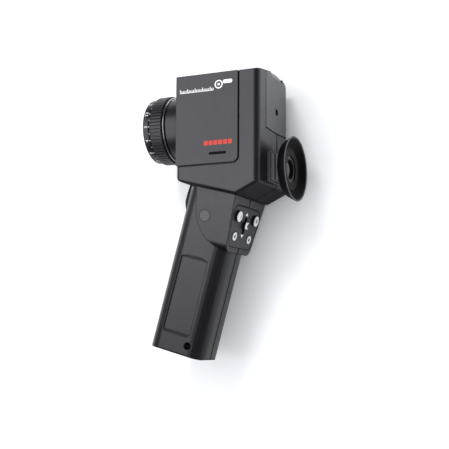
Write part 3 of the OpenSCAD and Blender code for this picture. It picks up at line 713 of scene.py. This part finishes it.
AZIMUTH = 114.42     # degrees
ELEVATION = -7.13    # degrees
ROLL = 0.285         # degrees
DISTANCE = 0.6877    # metres from the camera to its aim
AIM_OFFSET = Vector((0.4, 2.17, -5.58)) * MM  # from the middle of the CAD box
FOCAL_MM = 75.71
TABLE_TILT = 3.0     # degrees
TABLE_GAP = 1.5 * MM
TABLE_HALF = 3.0     # metres
TABLE_WHITE = (0.86, 0.865, 0.88, 1)
ROOM_WHITE = (0.96, 0.97, 1.0, 1)
LAMP_TINT = (1.0, 0.98, 1.07)


def view_direction(azimuth, elevation):
    """From the object towards the camera. Azimuth 0 stands in front of the lens, 90 on the left-hand side."""
    a, e = math.radians(azimuth), math.radians(elevation)
    return Vector((math.sin(a) * math.cos(e), -math.cos(a) * math.cos(e), math.sin(e)))


def box_centre():
    """The middle of the CAD box."""
    low, high = (Vector(corner) for corner in cad_box)
    return (low + high) / 2


def place_camera():
    data = bpy.data.cameras.new("camera")
    data.lens = FOCAL_MM
    data.sensor_width = 36.0
    data.clip_start = 0.01
    camera = bpy.data.objects.new("camera", data)
    bpy.context.scene.collection.objects.link(camera)
    aim = box_centre() + AIM_OFFSET
    back = view_direction(AZIMUTH, ELEVATION)
    right = Vector((0, 0, 1)).cross(back).normalized()
    up = back.cross(right)
    turn = Matrix.Rotation(math.radians(ROLL), 3, back)
    camera.matrix_world = Matrix((turn @ right, turn @ up, back)).transposed().to_4x4()
    camera.location = aim + back * DISTANCE
    bpy.context.scene.camera = camera


def table_paper():
    """White paper that is seen from its upper side only."""
    material, tree, place = fresh("table_paper")
    grain = noise(tree, place, 700, 3)
    shader = add(tree, "ShaderNodeBsdfPrincipled", {
        "Base Color": TABLE_WHITE, "Roughness": 0.8, "Specular IOR Level": 0.1,
        "Normal": bumped(tree, grain, 0.03, 0.1 * MM),
    })
    clear = add(tree, "ShaderNodeBsdfTransparent")
    hidden = add(tree, "ShaderNodeNewGeometry").outputs["Backfacing"]
    mix = add(tree, "ShaderNodeMixShader", {0: hidden, 1: shader.outputs["BSDF"], 2: clear.outputs["BSDF"]})
    add(tree, "ShaderNodeOutputMaterial", {"Surface": mix.outputs["Shader"]})
    return material


def place_table():
    """The meter lies on its right-hand side on a white table, so the table stands behind it in the view."""
    low = Vector(cad_box[0])
    tilt = math.radians(TABLE_TILT)
    origin = (low.x - TABLE_GAP, box_centre().y, 0)
    place = basis(origin, (0, 1, 0), (math.sin(tilt), 0, math.cos(tilt)))
    corners = ((-1, -1), (1, -1), (1, 1), (-1, 1))
    bm = bmesh.new()
    bm.faces.new([bm.verts.new(place @ Vector((x * TABLE_HALF, y * TABLE_HALF, 0))) for x, y in corners])
    mesh = bpy.data.meshes.new("table")
    bm.to_mesh(mesh)
    bm.free()
    mesh.materials.append(table_paper())
    table = bpy.data.objects.new("table", mesh)
    bpy.context.scene.collection.objects.link(table)


def softbox(name, direction, distance, size, watts, in_reflections, colour=(1, 1, 1)):
    """A rectangular lamp facing the meter. It is either seen in reflections or lights matt surfaces."""
    data = bpy.data.lights.new(name, "AREA")
    data.shape = "RECTANGLE"
    data.size, data.size_y = size
    data.energy = watts
    data.color = colour
    light = bpy.data.objects.new(name, data)
    bpy.context.scene.collection.objects.link(light)
    light.visible_diffuse = not in_reflections
    light.visible_glossy = in_reflections
    direction = Vector(direction).normalized()
    light.location = box_centre() + direction * distance
    light.rotation_euler = direction.to_track_quat("Z", "Y").to_euler()


def light_room(seen_strength, table_strength, gloss_strength):
    """The room: how bright it looks, how much it lights matt surfaces and how bright it is in reflections."""
    world = bpy.data.worlds.new("studio")
    bpy.context.scene.world = world
    world.use_nodes = True
    tree = world.node_tree
    tree.nodes.clear()
    path = add(tree, "ShaderNodeLightPath")
    strength = ramp(tree, path.outputs["Is Camera Ray"], 0, 1, gloss_strength, seen_strength)
    extra = math_node(tree, "MULTIPLY", path.outputs["Is Diffuse Ray"], table_strength - gloss_strength)
    strength = math_node(tree, "ADD", strength, extra)
    shader = add(tree, "ShaderNodeBackground", {"Color": ROOM_WHITE, "Strength": strength})
    add(tree, "ShaderNodeOutputWorld", {"Surface": shader.outputs["Background"]})


def light_scene():
    light_room(seen_strength=1.05, table_strength=1.10, gloss_strength=0.16)
    softbox("side", (0.90, -0.41, 0.02), 1.1, (1.15, 1.5), 15.2, True, LAMP_TINT)
    softbox("fill", (0.90, -0.41, 0.10), 1.1, (1.0, 1.0), 4.2, False)
    softbox("key", (0.75, -0.10, 0.62), 1.3, (0.30, 0.30), 5.4, False)
    bpy.context.scene.view_settings.view_transform = "Standard"


place_camera()
place_table()
light_scene()
